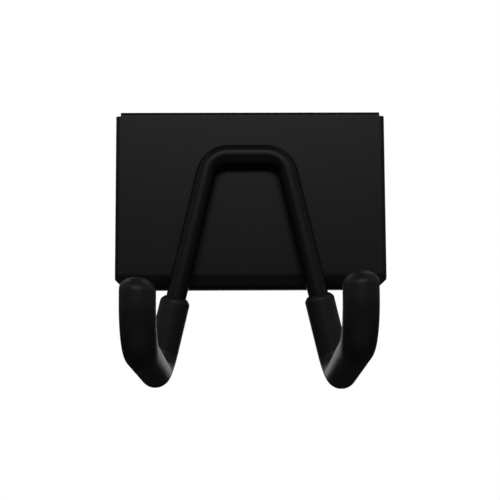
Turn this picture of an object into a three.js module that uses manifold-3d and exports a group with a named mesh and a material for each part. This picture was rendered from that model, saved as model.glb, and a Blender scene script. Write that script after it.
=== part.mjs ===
// Magnet-backed twin-prong hook: a folded steel pan, one bent rod welded to its front, two soft
// sleeves over the prongs, and block magnets with their spacer and grip pad inside the pan.
// Millimetres. +Z is up as the hook hangs, the prongs point to -Y, and the origin is the centre
// of the grip pad's rear face, which lies on the surface that the magnets hold.
import * as THREE from "three";
import { mergeVertices } from "three/addons/utils/BufferGeometryUtils.js";
import Module from "manifold-3d";

const wasm = await Module();
wasm.setup();

// ---------------------------------------------------------------- driving dimensions
// Pan, folded from one sheet with four flanges turned to the rear.
const PAN_WIDTH = 102.3;
const PAN_HEIGHT = 67.7;
const PAN_DEPTH = 9.5;
const SHEET = 1.2;
const SIDE_BEND_RADIUS = 1.7; // outside radius of the top and side folds
const BOTTOM_BEND_RADIUS = 6; // outside radius of the softer bottom fold
const TOP_NOTCH_WIDTH = 1.9;
const TOP_NOTCH_HEIGHT = 1.7;
const BOTTOM_CORNER_CUT = 3.8;
const CORNER_RELIEF_DIAMETER = 1.1;

// Rod, one length of wire bent into an arch with two hooks.
const ROD_DIAMETER = 7.4;
const ARCH_OFFSET = -1.3; // the arch is welded slightly off the pan's centre line
const ARCH_TOP = 16.5; // height of the crossbar's axis
const ARCH_BEND_RADIUS = 8.6; // all bend radii are those of the rod's axis
const LEG_SPACING = 51.3; // between the legs' axes where they pass the pan's bottom edge
const LEG_SPLAY = 13.3; // degrees from vertical
const HEEL_BEND_RADIUS = 8.5;
const TOE_BEND_RADIUS = 16;
const REACH = 73.6; // from the pan's face to the axis of the upturned tips
const LEFT_HEEL_DROP = 31.7; // heel corner below the pan's bottom edge
const RIGHT_HEEL_DROP = 32.8;
const LEFT_TOE_RISE = 10.9; // toe corner above the heel corner
const RIGHT_TOE_RISE = 13.8;
const TIP_LENGTH = 16.4; // from the toe corner up to the end of the rod
const ROD_END_CHAMFER = 0.6;

// Sleeves, dip-moulded soft vinyl with a closed round tip.
const SLEEVE_DIAMETER = 11.1;
const DOME_HEIGHT = 4.2; // the closed end is flatter than half a ball
const SLEEVE_CLEARANCE = 0.25;
const SLEEVE_MOUTH_BEVEL = 1.6;
const LEFT_MOUTH_DROP = 3.2; // mouth below the pan's bottom edge
const RIGHT_MOUTH_DROP = 2.3;
const ROD_END_CLEARANCE = 0.4;

// Resistance-weld nuggets between the rod and the pan's face.
const WELD_DIAMETER = 4.2;
const WELD_HEIGHT = 0.3;
const WELD_LEG_HEIGHTS = [2, -24]; // heights of the two nuggets on each leg

// Magnets, the spacer frame that keeps them apart, and the pad over them.
const MAGNET_COLUMNS = 3;
const MAGNET_ROWS = 2;
const MAGNET_EDGE_CHAMFER = 0.8;
const MAGNET_CLEARANCE = 0.25;
const SPACER_WALL = 2.4;
const SPACER_CLEARANCE = 0.5;
const SPACER_CORNER_RADIUS = 3;
const PAD_THICKNESS = 0.8;
const PAD_PROUD = 0.5; // how far the pad stands behind the pan's flanges
const PAD_CLEARANCE = 0.7;
const PAD_CORNER_RADIUS = 3.4;

// Fineness of round shapes.
const ROD_SIDES = 20;
const BEND_STEP = THREE.MathUtils.degToRad(9);
const FOLD_STEPS = 5;
const DOME_STEPS = 6;

// ---------------------------------------------------------------- derived places
const FACE_FRONT = -(PAN_DEPTH + PAD_PROUD);
const FACE_REAR = FACE_FRONT + SHEET;
const HALF_WIDTH = PAN_WIDTH / 2;
const HALF_HEIGHT = PAN_HEIGHT / 2;
const ROD_RADIUS = ROD_DIAMETER / 2;
const FLAT_TO_FACE = Math.PI / ROD_SIDES; // turns a facet's middle towards the pan's face
const CORNER_TO_FACE = 0;
const ROD_FLAT = ROD_RADIUS * Math.cos(Math.PI / ROD_SIDES); // axis to a facet's middle
const ROD_AXIS_Y = FACE_FRONT - WELD_HEIGHT - ROD_FLAT;
const SLEEVE_RADIUS = SLEEVE_DIAMETER / 2;
const BORE_RADIUS = ROD_RADIUS + SLEEVE_CLEARANCE;

// ---------------------------------------------------------------- solids
const STEEL_COAT = { color: 0x1d1f21, roughness: 0.42, metalness: 0.1 };
const ROD_COAT = { color: 0x191b1c, roughness: 0.4, metalness: 0.1 };
const VINYL = { color: 0x131415, roughness: 0.5, metalness: 0 };
const WELD = { color: 0x3a3b3d, roughness: 0.6, metalness: 0.8 };
const FERRITE = { color: 0x3b3a3a, roughness: 0.75, metalness: 0.1 };
const NYLON = { color: 0x26282a, roughness: 0.6, metalness: 0 };
const RUBBER = { color: 0x17181a, roughness: 0.85, metalness: 0 };

const object = new THREE.Group();

function addPiece(name, geometry, finish) {
  const mesh = new THREE.Mesh(geometry, new THREE.MeshStandardMaterial(finish));
  mesh.name = name;
  object.add(mesh);
  return mesh;
}

// A geometry as a manifold-3d solid, turned right side out.
function toSolid(geometry) {
  const bare = geometry.clone();
  bare.deleteAttribute("normal");
  bare.deleteAttribute("uv");
  const merged = mergeVertices(bare, 1e-4);
  const corners = new Uint32Array(merged.index.array);
  const make = () =>
    new wasm.Manifold(
      new wasm.Mesh({
        numProp: 3,
        vertProperties: merged.attributes.position.array,
        triVerts: corners,
      }),
    );
  let solid = make();
  if (solid.volume() < 0) {
    for (let i = 0; i < corners.length; i += 3) {
      [corners[i + 1], corners[i + 2]] = [corners[i + 2], corners[i + 1]];
    }
    solid = make();
  }
  return solid;
}

function toGeometry(solid) {
  const mesh = solid.getMesh();
  const geometry = new THREE.BufferGeometry();
  geometry.setAttribute("position", new THREE.BufferAttribute(mesh.vertProperties, 3));
  geometry.setIndex(new THREE.BufferAttribute(mesh.triVerts, 1));
  return geometry;
}

// A shape drawn in the X-Z plane, given thickness from yFront back to yRear.
function slab(shape, yFront, yRear, curveSegments = 6) {
  const geometry = new THREE.ExtrudeGeometry(shape, {
    depth: yRear - yFront,
    bevelEnabled: false,
    curveSegments,
  });
  geometry.rotateX(Math.PI / 2); // drawn Y becomes +Z, and the depth runs to -Y
  geometry.translate(0, yRear, 0);
  return geometry;
}

// ---------------------------------------------------------------- pan
// A flat strip of face and one flange, as the outline across a fold. The face lies along +u
// from the fold, the flange along +v, and the fold's outside corner is at the origin.
function foldOutline(radius, faceReach, flangeReach) {
  const shape = new THREE.Shape();
  const inner = radius - SHEET;
  shape.moveTo(faceReach, 0);
  shape.lineTo(faceReach, SHEET);
  shape.lineTo(radius, SHEET);
  shape.absarc(radius, radius, inner, -Math.PI / 2, -Math.PI, true);
  shape.lineTo(SHEET, flangeReach);
  shape.lineTo(0, flangeReach);
  shape.lineTo(0, radius);
  shape.absarc(radius, radius, radius, Math.PI, 1.5 * Math.PI, false);
  shape.closePath();
  return shape;
}

// One fold: its edge line starts at `corner` and runs along `along` for `length`; `inward` points
// across the face to the pan's middle. The flange always points to the rear, +Y.
function fold(radius, corner, along, inward, length) {
  const geometry = new THREE.ExtrudeGeometry(foldOutline(radius, radius + SHEET, PAN_DEPTH), {
    depth: length,
    bevelEnabled: false,
    curveSegments: FOLD_STEPS,
  });
  const place = new THREE.Matrix4().makeBasis(inward, new THREE.Vector3(0, 1, 0), along);
  geometry.applyMatrix4(place.setPosition(corner));
  return toSolid(geometry);
}

function makePan() {
  const X = new THREE.Vector3(1, 0, 0);
  const Z = new THREE.Vector3(0, 0, 1);
  const at = (x, z) => new THREE.Vector3(x, FACE_FRONT, z);
  const minusX = X.clone().negate();
  const minusZ = Z.clone().negate();

  const face = new THREE.Shape();
  face.moveTo(-HALF_WIDTH + SIDE_BEND_RADIUS, -HALF_HEIGHT + BOTTOM_BEND_RADIUS);
  face.lineTo(HALF_WIDTH - SIDE_BEND_RADIUS, -HALF_HEIGHT + BOTTOM_BEND_RADIUS);
  face.lineTo(HALF_WIDTH - SIDE_BEND_RADIUS, HALF_HEIGHT - SIDE_BEND_RADIUS);
  face.lineTo(-HALF_WIDTH + SIDE_BEND_RADIUS, HALF_HEIGHT - SIDE_BEND_RADIUS);
  face.closePath();
  let pan = toSolid(slab(face, FACE_FRONT, FACE_REAR));

  const sideLength = PAN_HEIGHT - TOP_NOTCH_HEIGHT;
  const topLength = PAN_WIDTH - 2 * TOP_NOTCH_WIDTH;
  pan = pan
    .add(fold(SIDE_BEND_RADIUS, at(-HALF_WIDTH, -HALF_HEIGHT), Z, X, sideLength))
    .add(fold(SIDE_BEND_RADIUS, at(HALF_WIDTH, -HALF_HEIGHT), Z, minusX, sideLength))
    .add(fold(SIDE_BEND_RADIUS, at(-topLength / 2, HALF_HEIGHT), X, minusZ, topLength))
    .add(fold(BOTTOM_BEND_RADIUS, at(-HALF_WIDTH, -HALF_HEIGHT), X, Z, PAN_WIDTH));

  // The blank's corners are cut off at 45 degrees below, so the folds end on that line.
  for (const side of [-1, 1]) {
    const cut = new THREE.Shape();
    const over = 2 * BOTTOM_CORNER_CUT;
    cut.moveTo(side * (HALF_WIDTH + over), -HALF_HEIGHT - over);
    cut.lineTo(side * (HALF_WIDTH + over), -HALF_HEIGHT + BOTTOM_CORNER_CUT + over);
    cut.lineTo(side * (HALF_WIDTH - BOTTOM_CORNER_CUT - over), -HALF_HEIGHT - over);
    cut.closePath();
    pan = pan.subtract(toSolid(slab(cut, FACE_FRONT - 1, 1)));
  }

  // A small round relief where two folds meet keeps the sheet from tearing.
  for (const side of [-1, 1]) {
    const heights = [
      HALF_HEIGHT - TOP_NOTCH_HEIGHT - CORNER_RELIEF_DIAMETER / 4,
      -HALF_HEIGHT + BOTTOM_CORNER_CUT,
    ];
    for (const z of heights) {
      const relief = new THREE.CylinderGeometry(
        CORNER_RELIEF_DIAMETER / 2,
        CORNER_RELIEF_DIAMETER / 2,
        3 * SHEET,
        12,
      );
      relief.translate(side * (HALF_WIDTH - TOP_NOTCH_WIDTH), FACE_FRONT + SHEET, z);
      pan = pan.subtract(toSolid(relief));
    }
  }
  return toGeometry(pan);
}

// ---------------------------------------------------------------- bent rod and sleeves
// A circular bend between two straight stretches.
class BendCurve extends THREE.Curve {
  constructor(start, centre, axis, turn) {
    super();
    this.arm = start.clone().sub(centre);
    this.centre = centre;
    this.axis = axis;
    this.turn = turn;
  }

  getPoint(t, target = new THREE.Vector3()) {
    target.copy(this.arm).applyAxisAngle(this.axis, this.turn * t);
    return target.add(this.centre);
  }
}

// The axis of a bent wire: straight stretches between `corners`, each corner rounded to its radius.
function bentWire(corners, radii) {
  const stretches = [];
  let from = corners[0];
  for (let i = 1; i < corners.length - 1; i += 1) {
    const back = corners[i - 1].clone().sub(corners[i]).normalize();
    const ahead = corners[i + 1].clone().sub(corners[i]).normalize();
    const turn = Math.PI - back.angleTo(ahead);
    const radius = radii[i - 1];
    const setback = radius * Math.tan(turn / 2);
    const start = corners[i].clone().addScaledVector(back, setback);
    const middle = back.clone().add(ahead).normalize();
    const centre = corners[i].clone().addScaledVector(middle, radius / Math.cos(turn / 2));
    const axis = new THREE.Vector3().crossVectors(ahead, back).normalize();
    stretches.push(new THREE.LineCurve3(from, start));
    stretches.push(new BendCurve(start, centre, axis, turn));
    from = corners[i].clone().addScaledVector(ahead, setback);
  }
  stretches.push(new THREE.LineCurve3(from, corners[corners.length - 1]));
  return stretches;
}

// Rings along the wire: each has its distance, its middle and two directions across the wire.
// The directions turn with each bend and nothing else, so nothing twists, and the first of them
// is `across` on the wire's middle stretch.
function wireRings(stretches, across) {
  const rings = [];
  let distance = 0;
  const right = across.clone();
  for (const stretch of stretches.slice(0, (stretches.length - 1) / 2).reverse()) {
    if (stretch instanceof BendCurve) {
      right.applyAxisAngle(stretch.axis, -stretch.turn);
    }
  }
  for (const stretch of stretches) {
    const isBend = stretch instanceof BendCurve;
    const steps = isBend ? Math.ceil(stretch.turn / BEND_STEP) : 1;
    const length = isBend ? stretch.arm.length() * stretch.turn : stretch.getLength();
    for (let i = rings.length ? 1 : 0; i <= steps; i += 1) {
      const t = i / steps;
      const ahead = stretch.getTangent(t);
      if (isBend) {
        ahead.copy(stretch.axis).cross(stretch.getPoint(t).sub(stretch.centre)).normalize();
      }
      const turned = right.clone();
      if (isBend) {
        turned.applyAxisAngle(stretch.axis, stretch.turn * t);
      }
      rings.push({
        distance: distance + length * t,
        middle: stretch.getPoint(t),
        ahead,
        right: turned,
        up: new THREE.Vector3().crossVectors(turned, ahead),
      });
    }
    if (isBend) {
      right.applyAxisAngle(stretch.axis, stretch.turn);
    }
    distance += length;
  }
  return rings;
}

// The ring at a distance along the wire, between two made rings where it falls on a straight one.
function ringAt(rings, distance) {
  const last = rings.length - 1;
  let i = rings.findIndex((ring) => ring.distance > distance) - 1;
  if (i < 0) {
    i = distance < rings[0].distance ? 0 : last - 1;
  }
  const [a, b] = [rings[i], rings[i + 1]];
  const t = (distance - a.distance) / (b.distance - a.distance);
  return {
    middle: a.middle.clone().lerp(b.middle, t),
    right: a.right.clone().lerp(b.right, t).normalize(),
    up: a.up.clone().lerp(b.up, t).normalize(),
  };
}

// Distances of the made rings strictly between two distances.
function distancesBetween(rings, low, high) {
  const margin = 0.05;
  return rings
    .map((ring) => ring.distance)
    .filter((distance) => distance > low + margin && distance < high - margin);
}

// A turned solid bent along the wire. Each profile point is (radius, distance along the wire), and
// `phase` turns its facets about the wire.
function bendLathe(profile, rings, phase) {
  const geometry = new THREE.LatheGeometry(profile, ROD_SIDES, phase);
  const position = geometry.getAttribute("position");
  for (let i = 0; i < position.count; i += 1) {
    const ring = ringAt(rings, position.getY(i));
    const point = ring.middle
      .clone()
      .addScaledVector(ring.right, position.getX(i))
      .addScaledVector(ring.up, position.getZ(i));
    position.setXYZ(i, point.x, point.y, point.z);
  }
  return toGeometry(toSolid(geometry));
}

const profilePoint = (radius, distance) => new THREE.Vector2(radius, distance);

// The wire's corners on one side, from the arch's top corner out to the tip.
function hookCorners(side, heelDrop, toeRise) {
  const splay = Math.tan(THREE.MathUtils.degToRad(LEG_SPLAY));
  const legX = (z) => ARCH_OFFSET + side * (LEG_SPACING / 2 + splay * (-HALF_HEIGHT - z));
  const heelZ = -HALF_HEIGHT - heelDrop;
  const toeZ = heelZ + toeRise;
  const toeY = FACE_FRONT - REACH;
  return [
    new THREE.Vector3(legX(ARCH_TOP), ROD_AXIS_Y, ARCH_TOP),
    new THREE.Vector3(legX(heelZ), ROD_AXIS_Y, heelZ),
    new THREE.Vector3(legX(heelZ), toeY, toeZ),
    new THREE.Vector3(legX(heelZ), toeY, toeZ + TIP_LENGTH),
  ];
}

const leftHook = hookCorners(-1, LEFT_HEEL_DROP, LEFT_TOE_RISE);
const rightHook = hookCorners(1, RIGHT_HEEL_DROP, RIGHT_TOE_RISE);
const tipDome = new THREE.Vector3(0, 0, DOME_HEIGHT);

// The whole wire from the left sleeve's dome to the right one's.
const wireCorners = [...leftHook].reverse().concat(rightHook);
wireCorners[0] = leftHook[3].clone().add(tipDome);
wireCorners[wireCorners.length - 1] = rightHook[3].clone().add(tipDome);
const wireRadii = [
  TOE_BEND_RADIUS,
  HEEL_BEND_RADIUS,
  ARCH_BEND_RADIUS,
  ARCH_BEND_RADIUS,
  HEEL_BEND_RADIUS,
  TOE_BEND_RADIUS,
];
const rings = wireRings(bentWire(wireCorners, wireRadii), new THREE.Vector3(0, 1, 0));
const wireLength = rings[rings.length - 1].distance;

function makeRod() {
  const start = DOME_HEIGHT;
  const end = wireLength - DOME_HEIGHT;
  const profile = [
    profilePoint(0, start),
    profilePoint(ROD_RADIUS - ROD_END_CHAMFER, start),
    profilePoint(ROD_RADIUS, start + ROD_END_CHAMFER),
    ...distancesBetween(rings, start + ROD_END_CHAMFER, end - ROD_END_CHAMFER).map((distance) =>
      profilePoint(ROD_RADIUS, distance),
    ),
    profilePoint(ROD_RADIUS, end - ROD_END_CHAMFER),
    profilePoint(ROD_RADIUS - ROD_END_CHAMFER, end),
    profilePoint(0, end),
  ];
  return bendLathe(profile, rings, FLAT_TO_FACE);
}

// How far along the wire, from the dome, the leg passes a given height.
function mouthDistance(hook, height) {
  const heel = hook[1];
  const top = hook[0];
  const share = (height - heel.z) / (top.z - heel.z);
  const spot = heel.clone().lerp(top, share);
  const nearest = rings
    .map((ring) => ring.middle.distanceTo(spot))
    .reduce((best, gap, i, gaps) => (gap < gaps[best] ? i : best), 0);
  const ring = rings[nearest];
  return ring.distance + spot.clone().sub(ring.middle).dot(ring.ahead);
}

// A sleeve from its dome, at distance `dome`, to its mouth, at distance `mouth`.
function makeSleeve(dome, mouth) {
  const way = Math.sign(mouth - dome);
  const rodEnd = dome + way * DOME_HEIGHT;
  const boreEnd = rodEnd - way * ROD_END_CLEARANCE;
  const shoulder = mouth + way * -SLEEVE_MOUTH_BEVEL;
  const lip = BORE_RADIUS + (SLEEVE_RADIUS - BORE_RADIUS) * 0.25;
  const between = (a, b) => {
    const found = distancesBetween(rings, Math.min(a, b), Math.max(a, b));
    return a < b ? found : found.reverse();
  };
  const profile = [profilePoint(0, dome)];
  for (let i = 1; i <= DOME_STEPS; i += 1) {
    const angle = ((Math.PI / 2) * i) / DOME_STEPS;
    const rise = DOME_HEIGHT * (1 - Math.cos(angle));
    profile.push(profilePoint(SLEEVE_RADIUS * Math.sin(angle), dome + way * rise));
  }
  profile.push(
    ...between(rodEnd, shoulder).map((distance) => profilePoint(SLEEVE_RADIUS, distance)),
    profilePoint(SLEEVE_RADIUS, shoulder),
    profilePoint(SLEEVE_RADIUS - (SLEEVE_RADIUS - lip) * 0.3, shoulder + way * 0.45 * SLEEVE_MOUTH_BEVEL),
    profilePoint(lip, mouth),
    profilePoint(BORE_RADIUS, mouth),
    ...between(mouth, boreEnd).map((distance) => profilePoint(BORE_RADIUS, distance)),
    profilePoint(BORE_RADIUS, boreEnd),
    profilePoint(0, boreEnd),
  );
  return bendLathe(profile, rings, CORNER_TO_FACE);
}

// ---------------------------------------------------------------- magnets, spacer and pad
function roundedRectangle(low, high, radius) {
  const shape = new THREE.Shape();
  shape.moveTo(low.x + radius, low.y);
  shape.lineTo(high.x - radius, low.y);
  shape.absarc(high.x - radius, low.y + radius, radius, -Math.PI / 2, 0, false);
  shape.lineTo(high.x, high.y - radius);
  shape.absarc(high.x - radius, high.y - radius, radius, 0, Math.PI / 2, false);
  shape.lineTo(low.x + radius, high.y);
  shape.absarc(low.x + radius, high.y - radius, radius, Math.PI / 2, Math.PI, false);
  shape.lineTo(low.x, low.y + radius);
  shape.absarc(low.x + radius, low.y + radius, radius, Math.PI, 1.5 * Math.PI, false);
  shape.closePath();
  return shape;
}

const panInside = {
  low: new THREE.Vector2(-HALF_WIDTH + SHEET, -HALF_HEIGHT + SHEET),
  high: new THREE.Vector2(HALF_WIDTH - SHEET, HALF_HEIGHT - SHEET),
};
const spacerLow = new THREE.Vector2(
  panInside.low.x + SPACER_CLEARANCE,
  -HALF_HEIGHT + BOTTOM_BEND_RADIUS + SPACER_CLEARANCE,
);
const spacerHigh = panInside.high.clone().subScalar(SPACER_CLEARANCE);
const pitchX = (spacerHigh.x - spacerLow.x - SPACER_WALL) / MAGNET_COLUMNS;
const pitchZ = (spacerHigh.y - spacerLow.y - SPACER_WALL) / MAGNET_ROWS;

// Low and high corners of one magnet's pocket in the spacer.
function pocket(column, row) {
  const low = new THREE.Vector2(
    spacerLow.x + SPACER_WALL + column * pitchX,
    spacerLow.y + SPACER_WALL + row * pitchZ,
  );
  const high = low.clone().add(new THREE.Vector2(pitchX - SPACER_WALL, pitchZ - SPACER_WALL));
  return { low, high };
}

function eachPocket(visit) {
  for (let row = 0; row < MAGNET_ROWS; row += 1) {
    for (let column = 0; column < MAGNET_COLUMNS; column += 1) {
      visit(pocket(column, row), row, column);
    }
  }
}

function makeSpacer() {
  const outline = roundedRectangle(spacerLow, spacerHigh, SPACER_CORNER_RADIUS);
  let spacer = toSolid(slab(outline, FACE_REAR, -PAD_THICKNESS));
  eachPocket(({ low, high }) => {
    const hole = new THREE.BoxGeometry(high.x - low.x, PAN_DEPTH, high.y - low.y);
    hole.translate((low.x + high.x) / 2, (FACE_REAR - PAD_THICKNESS) / 2, (low.y + high.y) / 2);
    spacer = spacer.subtract(toSolid(hole));
  });
  return toGeometry(spacer);
}

// A block magnet with its upright edges chamfered, as ground ferrite blocks are.
function makeMagnet({ low, high }) {
  const [left, right] = [low.x + MAGNET_CLEARANCE, high.x - MAGNET_CLEARANCE];
  const [bottom, top] = [low.y + MAGNET_CLEARANCE, high.y - MAGNET_CLEARANCE];
  const c = MAGNET_EDGE_CHAMFER;
  const shape = new THREE.Shape();
  shape.moveTo(left + c, bottom);
  shape.lineTo(right - c, bottom);
  shape.lineTo(right, bottom + c);
  shape.lineTo(right, top - c);
  shape.lineTo(right - c, top);
  shape.lineTo(left + c, top);
  shape.lineTo(left, top - c);
  shape.lineTo(left, bottom + c);
  shape.closePath();
  return slab(shape, FACE_REAR, -PAD_THICKNESS);
}

function makePad() {
  const low = panInside.low.clone().addScalar(PAD_CLEARANCE);
  const high = panInside.high.clone().subScalar(PAD_CLEARANCE);
  return slab(roundedRectangle(low, high, PAD_CORNER_RADIUS), -PAD_THICKNESS, 0);
}

// ---------------------------------------------------------------- assembly
addPiece("back_plate", makePan(), STEEL_COAT);
addPiece("hook_rod", makeRod(), ROD_COAT);

const leftMouth = mouthDistance(leftHook, -HALF_HEIGHT - LEFT_MOUTH_DROP);
const rightMouth = mouthDistance(rightHook, -HALF_HEIGHT - RIGHT_MOUTH_DROP);
addPiece("left_sleeve", makeSleeve(0, leftMouth), VINYL);
addPiece("right_sleeve", makeSleeve(wireLength, rightMouth), VINYL);

function addWeld(name, x, z) {
  const nugget = new THREE.CylinderGeometry(
    WELD_DIAMETER / 2,
    WELD_DIAMETER / 2,
    WELD_HEIGHT,
    16,
  );
  nugget.translate(x, FACE_FRONT - WELD_HEIGHT / 2, z);
  addPiece(name, nugget, WELD);
}

addWeld("weld_crossbar", ARCH_OFFSET, ARCH_TOP);
for (const [side, hook] of [["left", leftHook], ["right", rightHook]]) {
  WELD_LEG_HEIGHTS.forEach((height, i) => {
    const share = (height - hook[1].z) / (hook[0].z - hook[1].z);
    const spot = hook[1].clone().lerp(hook[0], share);
    addWeld(`weld_${side}_${i === 0 ? "upper" : "lower"}`, spot.x, spot.z);
  });
}

addPiece("magnet_spacer", makeSpacer(), NYLON);
eachPocket((place, row, column) => {
  const rowName = row === 0 ? "lower" : "upper";
  addPiece(`magnet_${rowName}_${column + 1}`, makeMagnet(place), FERRITE);
});
addPiece("grip_pad", makePad(), RUBBER);

export default object;
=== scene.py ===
"""Magnet-backed twin-prong hook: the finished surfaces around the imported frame, in metres.

+Z is up as the hook hangs, the prongs point to -Y, and y = 0 is the rear face of the grip pad.
"""
import math

import bmesh
import bpy
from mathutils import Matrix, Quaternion, Vector


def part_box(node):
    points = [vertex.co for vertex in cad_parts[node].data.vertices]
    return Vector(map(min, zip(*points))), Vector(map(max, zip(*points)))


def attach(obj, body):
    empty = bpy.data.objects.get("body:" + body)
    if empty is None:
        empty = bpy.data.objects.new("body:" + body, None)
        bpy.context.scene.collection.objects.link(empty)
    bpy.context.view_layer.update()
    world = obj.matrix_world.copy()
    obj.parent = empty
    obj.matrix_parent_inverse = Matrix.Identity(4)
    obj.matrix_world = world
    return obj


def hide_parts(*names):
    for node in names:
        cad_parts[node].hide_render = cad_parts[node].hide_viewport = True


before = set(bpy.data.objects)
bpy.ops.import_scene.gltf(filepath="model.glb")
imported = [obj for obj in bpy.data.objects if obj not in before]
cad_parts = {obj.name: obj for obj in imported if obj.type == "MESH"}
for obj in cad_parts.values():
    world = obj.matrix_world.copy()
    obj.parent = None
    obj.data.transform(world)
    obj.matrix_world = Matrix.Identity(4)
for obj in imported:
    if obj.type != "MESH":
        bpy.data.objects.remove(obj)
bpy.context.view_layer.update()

bl_info = {
    "name": "Twin-prong hook",
    "version": (1, 0, 0),
    "blender": (4, 5, 0),
    "location": "3D View > Sidebar > Prong Hook",
    "description": "Builds the pan, bent rod, vinyl sleeves and magnetic back of a prong hook",
    "category": "Object",
}

MM = 0.001
PAN_LOW, PAN_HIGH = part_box("back_plate")
ROD_LOW, ROD_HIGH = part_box("hook_rod")
LEFT_LOW, LEFT_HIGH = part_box("left_sleeve")
RIGHT_LOW, RIGHT_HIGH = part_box("right_sleeve")
PAD_LOW, PAD_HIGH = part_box("grip_pad")


def linear(hex_colour):
    """An sRGB hex colour as linear red, green and blue."""
    channels = [int(hex_colour[i : i + 2], 16) / 255 for i in (0, 2, 4)]
    return tuple(c / 12.92 if c <= 0.04045 else ((c + 0.055) / 1.055) ** 2.4 for c in channels)


def length(name, description, default_mm, low_mm=0.0, high_mm=200.0):
    """A size property shown in the scene's length unit, its default given in millimetres."""
    return bpy.props.FloatProperty(
        name=name,
        description=description,
        default=default_mm * MM,
        min=low_mm * MM,
        max=high_mm * MM,
        precision=5,
        subtype="DISTANCE",
        unit="LENGTH",
    )


def colour(name, description, hex_colour):
    """A colour property, its default given as an sRGB hex value."""
    return bpy.props.FloatVectorProperty(
        name=name,
        description=description,
        default=linear(hex_colour),
        min=0.0,
        max=1.0,
        size=3,
        subtype="COLOR",
    )


# ------------------------------------------------------------------ sizes and colours
class PanSizes(bpy.types.PropertyGroup):
    """The folded sheet-steel pan. Its width, height and depth come from the frame."""

    sheet: length("Sheet", "Thickness of the steel with its coat", 1.2)
    side_fold: length("Side fold", "Outside radius of the top and side folds", 1.7)
    bottom_fold: length("Bottom fold", "Outside radius of the softer bottom fold", 6.0)
    notch_width: length("Notch width", "How far each top notch reaches in from the side", 1.9)
    notch_height: length("Notch height", "How far each top notch reaches down", 1.7)
    corner_cut: length("Corner cut", "Legs of the 45 degree cut at the bottom corners", 3.8)
    edge_round: length("Edge round", "Rounding that the coat leaves on cut edges", 0.2)
    coat: colour("Coat", "Powder coat of the pan", "1D2126")


class RodSizes(bpy.types.PropertyGroup):
    """The bent rod. Its ends, its top and its distance from the pan come from the frame."""

    diameter: length("Diameter", "Wire with its coat", 7.4)
    arch_offset: length("Arch offset", "How far left of the pan's middle the arch is welded", 1.3)
    leg_spacing: length("Leg spacing", "Between the legs where they pass the pan's bottom", 51.3)
    leg_splay: bpy.props.FloatProperty(
        name="Leg splay",
        description="Lean of each leg from the vertical",
        default=math.radians(13.3),
        subtype="ANGLE",
        unit="ROTATION",
    )
    arch_bend: length("Arch bend", "Radius of the wire's axis at the arch's corners", 8.6)
    heel_bend: length("Heel bend", "Radius of the wire's axis at the heels", 8.5)
    toe_bend: length("Toe bend", "Radius of the wire's axis at the toes", 16.0)
    left_heel_drop: length("Left heel drop", "Heel corner below the pan's bottom", 31.7)
    right_heel_drop: length("Right heel drop", "Heel corner below the pan's bottom", 32.8)
    tip_length: length("Tip length", "From the toe corner up to the rod's end", 16.4)
    end_chamfer: length("End chamfer", "Chamfer of the sheared ends", 0.6)
    coat: colour("Coat", "Powder coat of the rod", "1A1B1C")


class SleeveSizes(bpy.types.PropertyGroup):
    """The dip-moulded vinyl sleeves."""

    diameter: length("Diameter", "Outside diameter", 11.06)
    dome_height: length("Dome height", "Rise of the closed end, flatter than half a ball", 4.2)
    dome_lean: length("Dome lean", "How far each closed end leans away from the other", 0.35)
    mouth_bevel: length("Mouth bevel", "How far the mouth tapers along the rod", 1.6)
    left_mouth_drop: length("Left mouth drop", "Mouth below the pan's bottom", 3.2)
    right_mouth_drop: length("Right mouth drop", "Mouth below the pan's bottom", 2.3)
    end_wall: length("End wall", "Vinyl between the rod's end and the middle of the dome", 0.4)
    vinyl: colour("Vinyl", "Colour of the vinyl", "2D2D2E")


class BackingSizes(bpy.types.PropertyGroup):
    """What fills the pan's rear: magnets, their spacer and the ribbed grip pad."""

    corner: length("Corner", "Radius of the pad's die-cut corners", 3.4)
    rib_pitch: length("Rib pitch", "From one grip rib to the next", 2.0)
    rib_height: length("Rib height", "Depth of the grooves between the ribs", 0.3)
    rib_margin: length("Rib margin", "Plain border around the ribs", 2.2)
    rubber: colour("Rubber", "Colour of the grip pad", "303133")
    ferrite: colour("Ferrite", "Colour of the block magnets", "3C3A39")
    nylon: colour("Nylon", "Colour of the magnet spacer", "222426")


class StageSizes(bpy.types.PropertyGroup):
    """The camera, the lights and the floor."""

    distance: length("Camera distance", "From the camera to the pan's face", 361.0, 0.0, 2000.0)
    lens: bpy.props.FloatProperty(
        name="Lens", description="Focal length in millimetres", default=69.18, min=20.0
    )
    floor_drop: length("Floor drop", "Floor below the origin", 360.0, 0.0, 2000.0)
    key: bpy.props.FloatProperty(
        name="Key light", description="Brightness against the white sweep", default=2.9, min=0.0
    )
    rear: bpy.props.FloatProperty(
        name="Rear lights", description="Brightness against the white sweep", default=0.8, min=0.0
    )
    card: bpy.props.FloatProperty(
        name="Back card", description="Brightness against the white sweep", default=1.0, min=0.0
    )
    wash: bpy.props.FloatProperty(
        name="Floor wash", description="Brightness against the white sweep", default=1.0, min=0.0
    )
    paper: colour("Paper", "Colour of the floor", "F2F1EE")


# ------------------------------------------------------------------ small helpers
def add_node(tree, kind, settings=None, links=None):
    """Adds a node. A setting is a property or an input's value; a link is input: output socket."""
    node = tree.nodes.new(kind)
    for key, value in (settings or {}).items():
        if isinstance(key, str) and hasattr(node, key):
            setattr(node, key, value)
        else:
            node.inputs[key].default_value = value
    for key, socket in (links or {}).items():
        tree.links.new(socket, node.inputs[key])
    return node


def new_material(name):
    material = bpy.data.materials.new(name)
    material.use_nodes = True
    material.node_tree.nodes.clear()
    return material, material.node_tree


def rgba(colour_value):
    return (*colour_value, 1.0)


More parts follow.
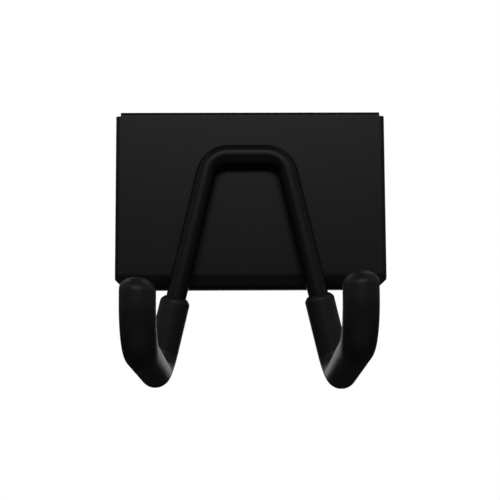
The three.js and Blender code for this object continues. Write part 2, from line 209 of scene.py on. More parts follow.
def add_piece(name, mesh, material, *nodes):
    """Links a mesh as a piece that rides on the frame and stands for these CAD nodes."""
    piece = bpy.data.objects.new(name, mesh)
    bpy.context.scene.collection.objects.link(piece)
    mesh.materials.append(material)
    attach(piece, "root")
    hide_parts(*nodes)
    return piece


def smooth(mesh, sharp_degrees=40):
    """Shades a mesh smooth, with edges sharper than this angle left crisp."""
    mesh.polygons.foreach_set("use_smooth", [True] * len(mesh.polygons))
    mesh.set_sharp_from_angle(angle=math.radians(sharp_degrees))


def spread(low, high, steps):
    """Evenly spaced values from low to high, both included."""
    return [low + (high - low) * i / steps for i in range(steps + 1)]


# ------------------------------------------------------------------ the folded pan
def folded(blank, flat_half, radius, wall):
    """Where a blank's coordinate goes once its edge is folded: (across, depth behind the face)."""
    over = abs(blank) - flat_half
    if over <= 0:
        return blank, 0.0
    quarter = radius * math.pi / 2
    if over < quarter:
        angle = over / radius
        return math.copysign(flat_half + radius * math.sin(angle), blank), radius * (
            1 - math.cos(angle)
        )
    return math.copysign(wall, blank), radius + over - quarter


def fold_lines(flat_half, radius, flange_end):
    """Blank coordinates of the grid lines from the flat's edge out to the flange's end."""
    quarter = radius * math.pi / 2
    bend = [flat_half + quarter * i / 12 for i in range(13)]
    return bend + spread(flat_half + quarter, flange_end, 3)[1:]


def pan_mesh(pan):
    """The pan's outer skin: a grid over the flat blank, then folded along its four edges."""
    half_width = (PAN_HIGH.x - PAN_LOW.x) / 2
    half_height = (PAN_HIGH.z - PAN_LOW.z) / 2
    depth = PAN_HIGH.y - PAN_LOW.y
    flat_x = half_width - pan.side_fold
    flat_top = half_height - pan.side_fold
    flat_bottom = half_height - pan.bottom_fold
    side_end = flat_x + pan.side_fold * math.pi / 2 + depth - pan.side_fold
    top_end = flat_top + pan.side_fold * math.pi / 2 + depth - pan.side_fold
    bottom_end = flat_bottom + pan.bottom_fold * math.pi / 2 + depth - pan.bottom_fold

    notch_x = half_width - pan.notch_width
    notch_z = half_height - pan.notch_height
    out = fold_lines(flat_x, pan.side_fold, side_end)
    across = [-u for u in reversed(out)] + spread(-notch_x, notch_x, 24) + out
    down = [-w for w in reversed(fold_lines(flat_bottom, pan.bottom_fold, bottom_end))]
    up = [notch_z] + [w for w in fold_lines(flat_top, pan.side_fold, top_end) if w > notch_z]
    rise = down + spread(-flat_bottom, notch_z, 18)[1:-1] + up

    bm = bmesh.new()
    grid = {}
    for i, u in enumerate(across):
        x, side_depth = folded(u, flat_x, pan.side_fold, half_width)
        for j, w in enumerate(rise):
            if w > 0:
                z, end_depth = folded(w, flat_top, pan.side_fold, half_height)
            else:
                z, end_depth = folded(w, flat_bottom, pan.bottom_fold, half_height)
            grid[i, j] = bm.verts.new((x, PAN_LOW.y + side_depth + end_depth, z))
    hair = 0.001 * MM
    for i in range(len(across) - 1):
        for j in range(len(rise) - 1):
            outside = max(abs(across[i]), abs(across[i + 1])) > notch_x + hair
            above = rise[j + 1] > notch_z + hair
            lost = rise[j] < -flat_bottom - pan.corner_cut or max(
                abs(across[i]), abs(across[i + 1])
            ) < flat_x + pan.corner_cut
            below = rise[j] < -flat_bottom - hair and outside and not lost
            if not (outside and above) and not below:
                bm.faces.new([grid[i, j], grid[i + 1, j], grid[i + 1, j + 1], grid[i, j + 1]])
    for side in (-1, 1):
        on_cut = Vector((side * half_width, 0, -half_height + pan.corner_cut))
        bmesh.ops.bisect_plane(
            bm,
            geom=bm.verts[:] + bm.edges[:] + bm.faces[:],
            plane_co=on_cut,
            plane_no=Vector((side, 0, -1)),
            clear_outer=True,
        )
    bmesh.ops.delete(bm, geom=[v for v in bm.verts if not v.link_faces], context="VERTS")
    bmesh.ops.remove_doubles(bm, verts=bm.verts, dist=0.002 * MM)
    bmesh.ops.recalc_face_normals(bm, faces=bm.faces)
    if sum(f.normal.y * f.calc_area() for f in bm.faces) > 0:
        bmesh.ops.reverse_faces(bm, faces=bm.faces)
    mesh = bpy.data.meshes.new("pan")
    bm.to_mesh(mesh)
    bm.free()
    return mesh


class HOOK_OT_pan(bpy.types.Operator):
    """Make the folded steel pan"""

    bl_idname = "prong_hook.pan"
    bl_label = "Make pan"

    def execute(self, context):
        pan = context.scene.hook_pan
        mesh = pan_mesh(pan)
        piece = add_piece("pan", mesh, powder_coat("pan_powder_coat", pan.coat, 0.42), "back_plate")
        wall = piece.modifiers.new("Wall", "SOLIDIFY")
        wall.thickness = pan.sheet
        wall.offset = -1.0
        wall.use_even_offset = True
        edges = piece.modifiers.new("Coated edges", "BEVEL")
        edges.width = pan.edge_round
        edges.segments = 3
        edges.limit_method = "ANGLE"
        edges.angle_limit = math.radians(50)
        edges.use_clamp_overlap = True
        smooth(mesh, 50)
        piece.modifiers.new("Even shading", "WEIGHTED_NORMAL").keep_sharp = True
        return {"FINISHED"}


# ------------------------------------------------------------------ the wire's path
def hook_corners(rod, sleeve, side, heel_drop, tip_low, tip_high):
    """The wire's corners on one side: arch, heel, toe and the rod's end."""
    splay = math.tan(rod.leg_splay)
    bottom = PAN_LOW.z
    rod_axis_y = ROD_HIGH.y - rod.diameter / 2
    arch_z = ROD_HIGH.z - rod.diameter / 2

    def leg_x(z):
        return -rod.arch_offset + side * (rod.leg_spacing / 2 + splay * (bottom - z))

    heel_z = bottom - heel_drop
    toe_y = tip_low.y + sleeve.diameter / 2
    end_z = tip_high.z - sleeve.dome_height
    return [
        Vector((leg_x(arch_z), rod_axis_y, arch_z)),
        Vector((leg_x(heel_z), rod_axis_y, heel_z)),
        Vector((leg_x(heel_z), toe_y, end_z - rod.tip_length)),
        Vector((leg_x(heel_z), toe_y, end_z)),
    ]


def bent_wire(corners, radii, step):
    """Stations along a wire with rounded corners: (middle, direction, curvature vector)."""
    stations = []
    start = corners[0]

    def straight(a, b):
        direction = (b - a).normalized()
        count = max(2, math.ceil((b - a).length / (6 * step)))
        for point in spread(a, b, count):
            stations.append((point, direction, Vector()))

    for i, radius in enumerate(radii, 1):
        back = (corners[i - 1] - corners[i]).normalized()
        ahead = (corners[i + 1] - corners[i]).normalized()
        turn = math.pi - back.angle(ahead)
        setback = radius * math.tan(turn / 2)
        bend_start = corners[i] + back * setback
        straight(start, bend_start)
        centre = corners[i] + (back + ahead).normalized() * radius / math.cos(turn / 2)
        axis = ahead.cross(back).normalized()
        arm = bend_start - centre
        count = max(6, math.ceil(radius * turn / step))
        for angle in spread(0.0, turn, count)[1:-1]:
            out = Quaternion(axis, angle) @ arm
            stations.append((centre + out, axis.cross(out).normalized(), -out / radius))
        start = corners[i] + ahead * setback
    straight(start, corners[-1])
    return stations


class Wire:
    """A wire's path with directions across it that turn with the bends and don't twist."""

    def __init__(self, stations):
        self.distances = [0.0]
        self.rows = []
        across = Vector((1, 0, 0))
        last = None
        for middle, ahead, curve in stations:
            if last is None:
                across = (across - ahead * across.dot(ahead)).normalized()
            else:
                self.distances.append(self.distances[-1] + (middle - last[0]).length)
                across = last[1].rotation_difference(ahead) @ across
            self.rows.append((middle, ahead, across, curve))
            last = (middle, ahead)
        self.length = self.distances[-1]

    def at(self, distance):
        """Middle, across, up and curvature at a distance along the wire."""
        low, high = 0, len(self.distances) - 2
        while low < high:
            mid = (low + high + 1) // 2
            if self.distances[mid] <= distance:
                low = mid
            else:
                high = mid - 1
        gap = self.distances[low + 1] - self.distances[low]
        t = (distance - self.distances[low]) / gap if gap > 0 else 0.0
        a, b = self.rows[low], self.rows[low + 1]
        ahead = a[1].lerp(b[1], t).normalized()
        across = a[2].lerp(b[2], t)
        across = (across - ahead * across.dot(ahead)).normalized()
        return a[0].lerp(b[0], t), across, across.cross(ahead), a[3].lerp(b[3], t)

    def nearest(self, point):
        """Distance along the wire of the spot nearest to a point."""
        best = min(range(len(self.rows)), key=lambda i: (self.rows[i][0] - point).length)
        middle, ahead = self.rows[best][:2]
        return self.distances[best] + (point - middle).dot(ahead)

    def between(self, low, high):
        """Distances of the stations between two distances, in the order asked for."""
        hair = 0.02 * MM
        found = [d for d in self.distances if min(low, high) + hair < d < max(low, high) - hair]
        spaced = [d for i, d in enumerate(found) if i == 0 or d - found[i - 1] > hair]
        return spaced if low < high else spaced[::-1]


def swept(name, wire, profile, sides):
    """A turned skin bent along the wire. The profile's points are (distance, radius)."""
    bm = bmesh.new()
    rings = []
    for distance, radius in profile:
        middle, across, up, _curve = wire.at(distance)
        if radius == 0:
            rings.append([bm.verts.new(middle)])
            continue
        ring = []
        for i in range(sides):
            angle = 2 * math.pi * i / sides
            spoke = across * math.cos(angle) + up * math.sin(angle)
            ring.append(bm.verts.new(middle + spoke * radius))
        rings.append(ring)
    for a, b in zip(rings, rings[1:]):
        for i in range(sides):
            j = (i + 1) % sides
            corners = [a[i % len(a)], a[j % len(a)], b[j % len(b)], b[i % len(b)]]
            bm.faces.new(list(dict.fromkeys(corners)))
    bmesh.ops.recalc_face_normals(bm, faces=bm.faces)
    mesh = bpy.data.meshes.new(name)
    bm.to_mesh(mesh)
    bm.free()
    return mesh


def hook_wire(scene):
    """The whole wire from the left dome to the right one, and both hooks' corners."""
    rod, sleeve = scene.hook_rod, scene.hook_sleeves
    left = hook_corners(rod, sleeve, -1, rod.left_heel_drop, LEFT_LOW, LEFT_HIGH)
    right = hook_corners(rod, sleeve, 1, rod.right_heel_drop, RIGHT_LOW, RIGHT_HIGH)
    corners = left[::-1] + right
    corners[0] = left[3] + Vector((0, 0, sleeve.dome_height))
    corners[-1] = right[3] + Vector((0, 0, sleeve.dome_height))
    hook_bends = [rod.toe_bend, rod.heel_bend, rod.arch_bend]
    radii = hook_bends + hook_bends[::-1]
    return Wire(bent_wire(corners, radii, 0.5 * MM)), left, right


def leg_spot(hook, height):
    """The point of a leg's axis at a height."""
    share = (height - hook[1].z) / (hook[0].z - hook[1].z)
    return hook[1].lerp(hook[0], share)


class HOOK_OT_rod(bpy.types.Operator):
    """Make the bent rod"""

    bl_idname = "prong_hook.rod"
    bl_label = "Make rod"

    def execute(self, context):
        rod, sleeve = context.scene.hook_rod, context.scene.hook_sleeves
        wire, _left, _right = hook_wire(context.scene)
        radius = rod.diameter / 2
        chamfer = rod.end_chamfer
        start = sleeve.dome_height
        end = wire.length - start
        profile = [(start, 0), (start, radius - chamfer), (start + chamfer, radius)]
        profile += [(d, radius) for d in wire.between(start + chamfer, end - chamfer)]
        profile += [(end - chamfer, radius), (end, radius - chamfer), (end, 0)]
        mesh = swept("rod", wire, profile, 64)
        smooth(mesh)
        piece = add_piece("rod", mesh, powder_coat("rod_powder_coat", rod.coat, 0.44), "hook_rod")
        return {"FINISHED"}


# ------------------------------------------------------------------ the vinyl sleeves
def sleeve_profile(wire, sleeve, rod, dome_at, mouth):
    """A sleeve's skin from the dome's top, over the outside, round the mouth and up the bore."""
    way = math.copysign(1, mouth - dome_at)
    outer = sleeve.diameter / 2
    bore = rod.diameter / 2 + 0.02 * MM
    rod_end = dome_at + way * sleeve.dome_height
    bore_end = rod_end - way * sleeve.end_wall
    bevel = sleeve.mouth_bevel
    shoulder = mouth - way * bevel
    profile = [(dome_at, 0)]
    for angle in spread(0.0, math.pi / 2, 20)[1:]:
        rise = sleeve.dome_height * (1 - math.cos(angle))
        profile.append((dome_at + way * rise, outer * math.sin(angle)))
    profile += [(d, outer) for d in wire.between(rod_end, shoulder - way * bevel * 0.4)]
    # The mouth: a rounded shoulder, a slope and a thin rounded lip on the rod.
    lip = bore + (outer - bore) * 0.16
    slope = [(-0.4, 1.0), (-0.15, 0.985), (0.05, 0.93), (0.25, 0.82), (0.5, 0.6), (0.75, 0.36)]
    slope += [(0.9, 0.18), (0.97, 0.08), (1.0, 0.0)]
    profile += [(shoulder + way * bevel * t, lip + (outer - lip) * share) for t, share in slope]
    profile += [(mouth, bore + (lip - bore) * 0.5), (mouth - way * 0.1 * MM, bore)]
    profile += [(d, bore) for d in wire.between(mouth - way * 0.1 * MM, bore_end)]
    profile += [(bore_end, bore), (bore_end, 0)]
    return profile


def lean_dome(mesh, rod_end, side, sleeve):
    """Leans a sleeve's closed end outwards, as it sits when it was pushed on a little askew."""
    start = rod_end.z
    for vertex in mesh.vertices:
        rise = min(1.0, max(0.0, (vertex.co.z - start) / (0.6 * sleeve.dome_height)))
        if vertex.co.y < rod_end.y + sleeve.diameter:
            vertex.co.x += side * sleeve.dome_lean * rise * rise * (3 - 2 * rise)


class HOOK_OT_sleeves(bpy.types.Operator):
    """Make the two vinyl sleeves"""

    bl_idname = "prong_hook.sleeves"
    bl_label = "Make sleeves"

    def execute(self, context):
        rod, sleeve = context.scene.hook_rod, context.scene.hook_sleeves
        wire, left, right = hook_wire(context.scene)
        vinyl = dipped_vinyl("dipped_vinyl", sleeve.vinyl)
        sleeves = [
            ("left", -1, left, sleeve.left_mouth_drop, 0.0),
            ("right", 1, right, sleeve.right_mouth_drop, wire.length),
        ]
        for hand, side, hook, drop, dome_at in sleeves:
            mouth = wire.nearest(leg_spot(hook, PAN_LOW.z - drop))
            profile = sleeve_profile(wire, sleeve, rod, dome_at, mouth)
            mesh = swept(f"{hand}_vinyl_sleeve", wire, profile, 72)
            lean_dome(mesh, hook[3], side, sleeve)
            smooth(mesh, 60)
            piece = add_piece(f"{hand}_vinyl_sleeve", mesh, vinyl, f"{hand}_sleeve")
        return {"FINISHED"}


# ------------------------------------------------------------------ magnets, spacer and pad
def rounded_outline(low, high, radius, steps=8):
    """Corners of a rounded rectangle in X and Z, anticlockwise seen from behind."""
    points = []
    middles = [
        (high.x - radius, high.z - radius, 0),
        (low.x + radius, high.z - radius, 90),
        (low.x + radius, low.z + radius, 180),
        (high.x - radius, low.z + radius, 270),
    ]
    for x, z, start in middles:
        for angle in spread(math.radians(start), math.radians(start + 90), steps):
            points.append((x + radius * math.cos(angle), z + radius * math.sin(angle)))
    return points


def pad_mesh(backing):
    """The grip pad: a die-cut sheet whose rear face carries rows of low rounded ribs."""
    bm = bmesh.new()
    outline = rounded_outline(PAD_LOW, PAD_HIGH, backing.corner)
    groove_y = PAD_HIGH.y - backing.rib_height
    front = [bm.verts.new((x, PAD_LOW.y, z)) for x, z in outline]
    rear = [bm.verts.new((x, groove_y, z)) for x, z in outline]
    for i in range(len(outline)):
        j = (i + 1) % len(outline)
        bm.faces.new([front[i], front[j], rear[j], rear[i]])
    bm.faces.new(front)
    bm.faces.new(rear)
    bmesh.ops.recalc_face_normals(bm, faces=bm.faces)
    mesh = bpy.data.meshes.new("grip_sheet")
    bm.to_mesh(mesh)
    bm.free()
    return mesh


def rib_mesh(backing):
    """All the grip ribs as one mesh: each a half-round bar with rounded ends."""
    bm = bmesh.new()
    low_z = PAD_LOW.z + backing.rib_margin
    rows = int((PAD_HIGH.z - backing.rib_margin - low_z) / backing.rib_pitch)
    half_length = (PAD_HIGH.x - PAD_LOW.x) / 2 - backing.rib_margin
    half_width = backing.rib_pitch * 0.3
    base = PAD_HIGH.y - backing.rib_height
    start = (PAD_LOW.z + PAD_HIGH.z) / 2 - rows * backing.rib_pitch / 2
    for row in range(rows + 1):
        z = start + row * backing.rib_pitch
        rings = []
        for t in [-1, -0.997, -0.99] + spread(-0.97, 0.97, 8) + [0.99, 0.997, 1]:
            taper = math.sqrt(max(0.0, 1 - max(0.0, (abs(t) - 0.985) / 0.015) ** 2))
            size = max(taper, 0.15)
            ring = []
            for angle in spread(0.0, math.pi, 8):
                side = half_width * size * math.cos(angle)
                lift = backing.rib_height * size * math.sin(angle)
                ring.append(bm.verts.new((t * half_length, base + lift, z + side)))
            rings.append(ring)
        for a, b in zip(rings, rings[1:]):
            for i in range(len(a) - 1):
                bm.faces.new([a[i], a[i + 1], b[i + 1], b[i]])
            bm.faces.new([a[-1], a[0], b[0], b[-1]])
        bm.faces.new(rings[0])
        bm.faces.new(rings[-1])
    bmesh.ops.recalc_face_normals(bm, faces=bm.faces)
    mesh = bpy.data.meshes.new("grip_ribs")
    bm.to_mesh(mesh)
    bm.free()
    return mesh


class HOOK_OT_backing(bpy.types.Operator):
    """Make the ribbed grip pad and finish the magnets and their spacer"""

    bl_idname = "prong_hook.backing"
    bl_label = "Make backing"

    def execute(self, context):
        backing = context.scene.hook_backing
        rubber = sheet_rubber("sheet_rubber", backing.rubber)
        sheet = pad_mesh(backing)
        smooth(sheet)
        pad = add_piece("grip_sheet", sheet, rubber, "grip_pad")
        edge = pad.modifiers.new("Die-cut edge", "BEVEL")
        edge.width = 0.12 * MM
        edge.segments = 2
        edge.limit_method = "ANGLE"
        edge.angle_limit = math.radians(60)
        ribs = rib_mesh(backing)
        smooth(ribs, 50)
        add_piece("grip_ribs", ribs, rubber, "grip_pad")

        ferrite = sintered_ferrite("sintered_ferrite", backing.ferrite)
        nylon = moulded_nylon("moulded_nylon", backing.nylon)
        for name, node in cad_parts.items():
            if name.startswith("magnet_"):
                finish = nylon if name == "magnet_spacer" else ferrite
                node.data.materials.clear()
                node.data.materials.append(finish)
        return {"FINISHED"}


class HOOK_OT_welds(bpy.types.Operator):
    """Finish the weld nuggets that hold the rod to the pan"""

    bl_idname = "prong_hook.welds"
    bl_label = "Finish welds"

    def execute(self, context):
        coat = powder_coat("weld_powder_coat", context.scene.hook_rod.coat, 0.5)
        for name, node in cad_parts.items():
            if name.startswith("weld_"):
                node.data.materials.clear()
                node.data.materials.append(coat)
        return {"FINISHED"}


# ------------------------------------------------------------------ finishes
def powder_coat(name, coat_colour, roughness):
    """Powder-coated steel: sprayed polyester powder, baked. It is satin, with a faint orange peel
    about 1.2 mm across that breaks up reflections, and a fine grit that varies the gloss."""
    material, tree = new_material(name)
    place = add_node(tree, "ShaderNodeTexCoord")
    peel = add_node(
        tree,
        "ShaderNodeTexNoise",
        {"Scale": 1 / (1.2 * MM), "Detail": 2.0, "Roughness": 0.45},
        {"Vector": place.outputs["Object"]},
    )
    grit = add_node(
        tree,
        "ShaderNodeTexNoise",
        {"Scale": 1 / (0.35 * MM), "Detail": 3.0, "Roughness": 0.6},
        {"Vector": place.outputs["Object"]},
    )
    gloss = add_node(
        tree,
        "ShaderNodeMapRange",
        {"From Min": 0.3, "From Max": 0.7, "To Min": roughness - 0.04, "To Max": roughness + 0.05},
        {"Value": grit.outputs["Fac"]},
    )
    drift = add_node(
        tree,
        "ShaderNodeTexNoise",
        {"Scale": 1 / (30 * MM), "Detail": 2.0},
        {"Vector": place.outputs["Object"]},
    )
    tone = add_node(
        tree,
        "ShaderNodeMix",
        {"data_type": "RGBA", 6: rgba([c * 0.88 for c in coat_colour]), 7: rgba(coat_colour)},
        {0: drift.outputs["Fac"]},
    )
    bump = add_node(
        tree,
        "ShaderNodeBump",
        {"Strength": 0.12, "Distance": 0.02 * MM},
        {"Height": peel.outputs["Fac"]},
    )
    shader = add_node(
        tree,
        "ShaderNodeBsdfPrincipled",
        {"Metallic": 0.0, "IOR": 1.5},
        {
            "Base Color": tone.outputs[2],
            "Roughness": gloss.outputs["Result"],
            "Normal": bump.outputs["Normal"],
        },
    )
    add_node(tree, "ShaderNodeOutputMaterial", None, {"Surface": shader.outputs["BSDF"]})
    return material


def dipped_vinyl(name, vinyl_colour):
    """Dip-moulded plastisol: soft PVC cured on a hot former. The skin is smooth and semi-matt,
    with slow waves about 4 mm long where it flowed before it set."""
    material, tree = new_material(name)
    place = add_node(tree, "ShaderNodeTexCoord")
    flow = add_node(
        tree,
        "ShaderNodeTexNoise",
        {"Scale": 1 / (4 * MM), "Detail": 1.0, "Roughness": 0.4},
        {"Vector": place.outputs["Object"]},
    )
    skin = add_node(
        tree,
        "ShaderNodeTexNoise",
        {"Scale": 1 / (0.4 * MM), "Detail": 3.0, "Roughness": 0.6},
        {"Vector": place.outputs["Object"]},
    )
    gloss = add_node(
        tree,
        "ShaderNodeMapRange",
        {"From Min": 0.3, "From Max": 0.7, "To Min": 0.4, "To Max": 0.47},
        {"Value": skin.outputs["Fac"]},
    )
    waves = add_node(
        tree,
        "ShaderNodeBump",
        {"Strength": 0.25, "Distance": 0.05 * MM},
        {"Height": flow.outputs["Fac"]},
    )
    grain = add_node(
        tree,
        "ShaderNodeBump",
        {"Strength": 0.1, "Distance": 0.01 * MM},
        {"Height": skin.outputs["Fac"], "Normal": waves.outputs["Normal"]},
    )
    shader = add_node(
        tree,
        "ShaderNodeBsdfPrincipled",
        {"Base Color": rgba(vinyl_colour), "Metallic": 0.0, "IOR": 1.53},
        {"Roughness": gloss.outputs["Result"], "Normal": grain.outputs["Normal"]},
    )
    add_node(tree, "ShaderNodeOutputMaterial", None, {"Surface": shader.outputs["BSDF"]})
    return material


def sheet_rubber(name, rubber_colour):
    """Calendered EPDM sheet: matt, with the fine bloom and grain that the rollers leave."""
    material, tree = new_material(name)
    place = add_node(tree, "ShaderNodeTexCoord")
    grain = add_node(
        tree,
        "ShaderNodeTexNoise",
        {"Scale": 1 / (0.3 * MM), "Detail": 4.0, "Roughness": 0.65},
        {"Vector": place.outputs["Object"]},
    )
    bloom = add_node(
        tree,
        "ShaderNodeTexNoise",
        {"Scale": 1 / (14 * MM), "Detail": 3.0},
        {"Vector": place.outputs["Object"]},
    )
    tone = add_node(
        tree,
        "ShaderNodeMix",
        {"data_type": "RGBA", 6: rgba(rubber_colour), 7: rgba([c * 1.5 for c in rubber_colour])},
        {0: bloom.outputs["Fac"]},
    )
    bump = add_node(
        tree,
        "ShaderNodeBump",
        {"Strength": 0.35, "Distance": 0.03 * MM},
        {"Height": grain.outputs["Fac"]},
    )
    shader = add_node(
        tree,
        "ShaderNodeBsdfPrincipled",
        {"Roughness": 0.75, "Metallic": 0.0, "IOR": 1.5},
        {"Base Color": tone.outputs[2], "Normal": bump.outputs["Normal"]},
    )
    add_node(tree, "ShaderNodeOutputMaterial", None, {"Surface": shader.outputs["BSDF"]})
    return material


def sintered_ferrite(name, ferrite_colour):
    """Sintered strontium ferrite: charcoal ceramic, ground flat, with pits and a darker speckle."""
    material, tree = new_material(name)
    place = add_node(tree, "ShaderNodeTexCoord")
    pits = add_node(
        tree,
        "ShaderNodeTexVoronoi",
        {"Scale": 1 / (0.9 * MM)},
        {"Vector": place.outputs["Object"]},
    )
    speckle = add_node(
        tree,
        "ShaderNodeTexNoise",
        {"Scale": 1 / (0.5 * MM), "Detail": 4.0},
        {"Vector": place.outputs["Object"]},
    )
    tone = add_node(
        tree,
        "ShaderNodeMix",
        {"data_type": "RGBA", 6: rgba([c * 0.6 for c in ferrite_colour]), 7: rgba(ferrite_colour)},
        {0: speckle.outputs["Fac"]},
    )
    bump = add_node(
        tree,
        "ShaderNodeBump",
        {"Strength": 0.4, "Distance": 0.05 * MM},
        {"Height": pits.outputs["Distance"]},
    )
    shader = add_node(
        tree,
        "ShaderNodeBsdfPrincipled",
        {"Roughness": 0.6, "Metallic": 0.0, "IOR": 1.9},
        {"Base Color": tone.outputs[2], "Normal": bump.outputs["Normal"]},
    )
    add_node(tree, "ShaderNodeOutputMaterial", None, {"Surface": shader.outputs["BSDF"]})
    return material


def moulded_nylon(name, nylon_colour):
    """Injection-moulded nylon: dark, with the spark-eroded texture of its mould."""
    material, tree = new_material(name)
    place = add_node(tree, "ShaderNodeTexCoord")
    spark = add_node(
        tree,
        "ShaderNodeTexNoise",
        {"Scale": 1 / (0.25 * MM), "Detail": 3.0},
        {"Vector": place.outputs["Object"]},
    )
    gloss = add_node(
        tree,
        "ShaderNodeMapRange",
        {"To Min": 0.45, "To Max": 0.65},
        {"Value": spark.outputs["Fac"]},
    )
    bump = add_node(
        tree,
        "ShaderNodeBump",
        {"Strength": 0.3, "Distance": 0.02 * MM},
        {"Height": spark.outputs["Fac"]},
    )
    shader = add_node(
        tree,
        "ShaderNodeBsdfPrincipled",
        {"Base Color": rgba(nylon_colour), "Metallic": 0.0, "IOR": 1.53},
        {"Roughness": gloss.outputs["Result"], "Normal": bump.outputs["Normal"]},
    )
    add_node(tree, "ShaderNodeOutputMaterial", None, {"Surface": shader.outputs["BSDF"]})
    return material


def studio_paper(name, paper_colour):
    """Seamless background paper: matt and pale, with a barely visible fibre mottle."""
    material, tree = new_material(name)
    place = add_node(tree, "ShaderNodeTexCoord")
    fibre = add_node(
        tree,
        "ShaderNodeTexNoise",
        {"Scale": 1 / (3 * MM), "Detail": 4.0},
        {"Vector": place.outputs["Object"]},
    )
    tone = add_node(
        tree,
        "ShaderNodeMix",
        {"data_type": "RGBA", 6: rgba([c * 0.97 for c in paper_colour]), 7: rgba(paper_colour)},
        {0: fibre.outputs["Fac"]},
    )
    shader = add_node(
        tree,
        "ShaderNodeBsdfPrincipled",
        {"Roughness": 0.9, "Metallic": 0.0, "IOR": 1.45},
        {"Base Color": tone.outputs[2]},
    )
    add_node(tree, "ShaderNodeOutputMaterial", None, {"Surface": shader.outputs["BSDF"]})
    return material


# ------------------------------------------------------------------ stage
# Brightness of each part of the studio, where 1 is the white that the camera sees.
SWEEP_BRIGHTNESS = 0.3
WALL_BRIGHTNESS = 0.16
TABLE_BRIGHTNESS = 0.07
ROOM_BRIGHTNESS = 0.015

# Places and sizes of the lights, in metres.
HOOK_MIDDLE = (0, -0.03, -0.01)
CARD_HEIGHT = -0.032  # of the white card's middle, behind and just under the pan
# name, place, what it faces, width and height, and the stage value with its brightness
SOFTBOXES = [
    ("key", (0, -0.92, 0.45), HOOK_MIDDLE, (0.73, 0.2), "key"),
    ("rear_left", (-0.46, 0.54, 0.68), HOOK_MIDDLE, (0.3, 0.3), "rear"),
    ("rear_right", (0.32, 0.44, 0.81), HOOK_MIDDLE, (0.3, 0.3), "rear"),
    ("back_card", (0, 0.2, CARD_HEIGHT), (0, -1, CARD_HEIGHT), (0.16, 0.12), "card"),
]
WASH_ABOVE_FLOOR = 0.16
WASH_SIZE = (2.4, 2.4)
FLOOR_RADIUS = 1.2

# The camera's angles are in degrees; its aim is in millimetres from the pan's middle.
CAMERA_PITCH, CAMERA_YAW, CAMERA_ROLL = 5.446, 0.496, -0.245
CAMERA_AIM_ACROSS, CAMERA_AIM_UP = -0.296, -19.09


def studio_world():
    """A white sweep behind the hook, dim walls beside it and a table in front that bounces a little
    light up. The camera sees plain white."""
    world = bpy.data.worlds.new("studio")
    bpy.context.scene.world = world
    world.use_nodes = True
    tree = world.node_tree
    tree.nodes.clear()
    place = add_node(tree, "ShaderNodeTexCoord")
    split = add_node(
        tree, "ShaderNodeSeparateXYZ", None, {"Vector": place.outputs["Generated"]}
    )
    behind = add_node(
        tree,
        "ShaderNodeMapRange",
        {
            "interpolation_type": "SMOOTHSTEP",
            "From Min": 0.7,
            "From Max": 0.92,
            "To Max": SWEEP_BRIGHTNESS,
        },
        {"Value": split.outputs["Y"]},
    )
    above = add_node(
        tree,
        "ShaderNodeMapRange",
        {"interpolation_type": "SMOOTHSTEP", "From Min": -0.04, "From Max": 0.22},
        {"Value": split.outputs["Z"]},
    )
    sweep = add_node(
        tree,
        "ShaderNodeMath",
        {"operation": "MULTIPLY"},
        {0: behind.outputs["Result"], 1: above.outputs["Result"]},
    )
    aside = add_node(tree, "ShaderNodeMath", {"operation": "ABSOLUTE"}, {0: split.outputs["X"]})
    beside = add_node(
        tree,
        "ShaderNodeMapRange",
        {
            "interpolation_type": "SMOOTHSTEP",
            "From Min": 0.3,
            "From Max": 0.75,
            "To Max": WALL_BRIGHTNESS,
        },
        {"Value": aside.outputs["Value"]},
    )
    walls = add_node(
        tree,
        "ShaderNodeMath",
        {"operation": "MULTIPLY"},
        {0: beside.outputs["Result"], 1: above.outputs["Result"]},
    )
    below = add_node(
        tree,
        "ShaderNodeMapRange",
        {
            "interpolation_type": "SMOOTHSTEP",
            "From Min": -0.5,
            "From Max": -0.8,
            "To Max": TABLE_BRIGHTNESS,
        },
        {"Value": split.outputs["Z"]},
    )
    before = add_node(
        tree,
        "ShaderNodeMapRange",
        {"interpolation_type": "SMOOTHSTEP", "From Min": 0.1, "From Max": -0.15},
        {"Value": split.outputs["Y"]},
    )
    table = add_node(
        tree,
        "ShaderNodeMath",
        {"operation": "MULTIPLY"},
        {0: below.outputs["Result"], 1: before.outputs["Result"]},
    )
    bounced = add_node(
        tree,
        "ShaderNodeMath",
        {"operation": "ADD"},
        {0: walls.outputs["Value"], 1: table.outputs["Value"]},
    )
    lit = add_node(
        tree,
        "ShaderNodeMath",
        {"operation": "ADD"},
        {0: sweep.outputs["Value"], 1: bounced.outputs["Value"]},
    )
    total = add_node(
        tree,
        "ShaderNodeMath",
        {"operation": "ADD", 1: ROOM_BRIGHTNESS},
        {0: lit.outputs["Value"]},
    )
    graded = add_node(
        tree, "ShaderNodeBackground", {"Strength": 1.0}, {"Color": total.outputs["Value"]}
    )
    plain = add_node(tree, "ShaderNodeBackground", {"Color": (1, 1, 1, 1), "Strength": 1.0})
    path = add_node(tree, "ShaderNodeLightPath")
    mixed = add_node(
        tree,
        "ShaderNodeMixShader",
        None,
        {
            0: path.outputs["Is Camera Ray"],
            1: graded.outputs["Background"],
            2: plain.outputs["Background"],
        },
    )
    add_node(tree, "ShaderNodeOutputWorld", None, {"Surface": mixed.outputs["Shader"]})


def add_softbox(name, place, target, size, brightness):
    """A rectangular softbox. Brightness 1 looks as bright as the white sweep."""
    light = bpy.data.lights.new(name, "AREA")
    light.shape = "RECTANGLE"
    light.size, light.size_y = size
    light.energy = brightness * math.pi * size[0] * size[1]
    lamp = bpy.data.objects.new(name, light)
    bpy.context.scene.collection.objects.link(lamp)
    lamp.location = place
    lamp.rotation_mode = "QUATERNION"
    lamp.rotation_quaternion = (Vector(target) - Vector(place)).to_track_quat("-Z", "Y")
    lamp.visible_camera = False
    return lamp


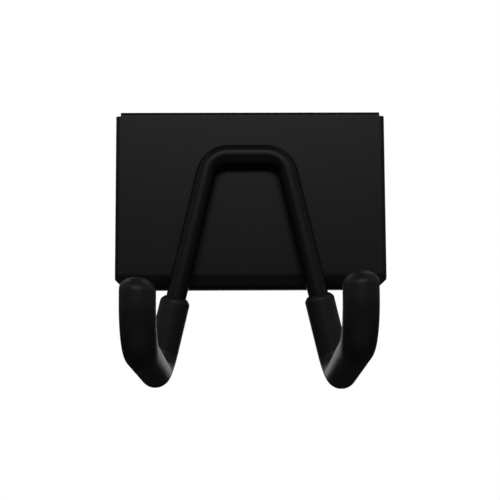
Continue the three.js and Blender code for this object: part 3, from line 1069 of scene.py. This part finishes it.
def add_camera(stage):
    """The camera looks slightly up at the pan's face from a little below its bottom edge."""
    pitch, yaw, roll = map(math.radians, (CAMERA_PITCH, CAMERA_YAW, CAMERA_ROLL))
    ahead = Vector(
        (math.sin(yaw) * math.cos(pitch), math.cos(yaw) * math.cos(pitch), math.sin(pitch))
    )
    aim = Vector((CAMERA_AIM_ACROSS * MM, PAN_LOW.y, CAMERA_AIM_UP * MM))
    data = bpy.data.cameras.new("camera")
    data.lens = stage.lens
    data.sensor_width = 36.0
    data.clip_start = 10 * MM
    camera = bpy.data.objects.new("camera", data)
    bpy.context.scene.collection.objects.link(camera)
    camera.location = aim - ahead * stage.distance
    camera.rotation_mode = "QUATERNION"
    level = ahead.to_track_quat("-Z", "Y")
    camera.rotation_quaternion = Quaternion(ahead, -roll) @ level
    bpy.context.scene.camera = camera


def floor_mesh(radius):
    bm = bmesh.new()
    bmesh.ops.create_circle(bm, cap_ends=True, segments=96, radius=radius)
    mesh = bpy.data.meshes.new("floor")
    bm.to_mesh(mesh)
    bm.free()
    return mesh


class HOOK_OT_stage(bpy.types.Operator):
    """Make the floor, the lights and the camera"""

    bl_idname = "prong_hook.stage"
    bl_label = "Make stage"

    def execute(self, context):
        stage = context.scene.hook_stage
        floor = bpy.data.objects.new("floor", floor_mesh(FLOOR_RADIUS))
        context.scene.collection.objects.link(floor)
        floor.location.z = -stage.floor_drop
        floor.data.materials.append(studio_paper("studio_paper", stage.paper))
        floor.visible_diffuse = False
        floor.visible_glossy = False
        studio_world()
        for name, place, facing, size, brightness in SOFTBOXES:
            add_softbox(name, place, facing, size, getattr(stage, brightness))
        wash_height = WASH_ABOVE_FLOOR - stage.floor_drop
        add_softbox("floor_wash", (0, 0, wash_height), (0, 0, -1), WASH_SIZE, stage.wash)
        add_camera(stage)
        context.scene.view_settings.view_transform = "Standard"
        return {"FINISHED"}


# ------------------------------------------------------------------ panel and registration
class HOOK_PT_panel(bpy.types.Panel):
    """Lists the hook's pieces and their sizes"""

    bl_idname = "HOOK_PT_panel"
    bl_label = "Prong Hook"
    bl_space_type = "VIEW_3D"
    bl_region_type = "UI"
    bl_category = "Prong Hook"

    def draw(self, context):
        for step in STEPS:
            self.layout.operator(step.bl_idname)
        for attribute, group in GROUPS.items():
            box = self.layout.box()
            for name in group.__annotations__:
                box.prop(getattr(context.scene, attribute), name)


GROUPS = {
    "hook_pan": PanSizes,
    "hook_rod": RodSizes,
    "hook_sleeves": SleeveSizes,
    "hook_backing": BackingSizes,
    "hook_stage": StageSizes,
}
STEPS = [
    HOOK_OT_pan,
    HOOK_OT_rod,
    HOOK_OT_sleeves,
    HOOK_OT_welds,
    HOOK_OT_backing,
    HOOK_OT_stage,
]


def register():
    for group in GROUPS.values():
        bpy.utils.register_class(group)
    for attribute, group in GROUPS.items():
        setattr(bpy.types.Scene, attribute, bpy.props.PointerProperty(type=group))
    for step in STEPS:
        bpy.utils.register_class(step)
    bpy.utils.register_class(HOOK_PT_panel)


def unregister():
    bpy.utils.unregister_class(HOOK_PT_panel)
    for step in reversed(STEPS):
        bpy.utils.unregister_class(step)
    for attribute in reversed(GROUPS):
        delattr(bpy.types.Scene, attribute)
    for group in reversed(GROUPS.values()):
        bpy.utils.unregister_class(group)


def main():
    register()
    bpy.ops.prong_hook.pan()
    bpy.ops.prong_hook.rod()
    bpy.ops.prong_hook.sleeves()
    bpy.ops.prong_hook.welds()
    bpy.ops.prong_hook.backing()
    bpy.ops.prong_hook.stage()


if __name__ == "__main__":
    main()
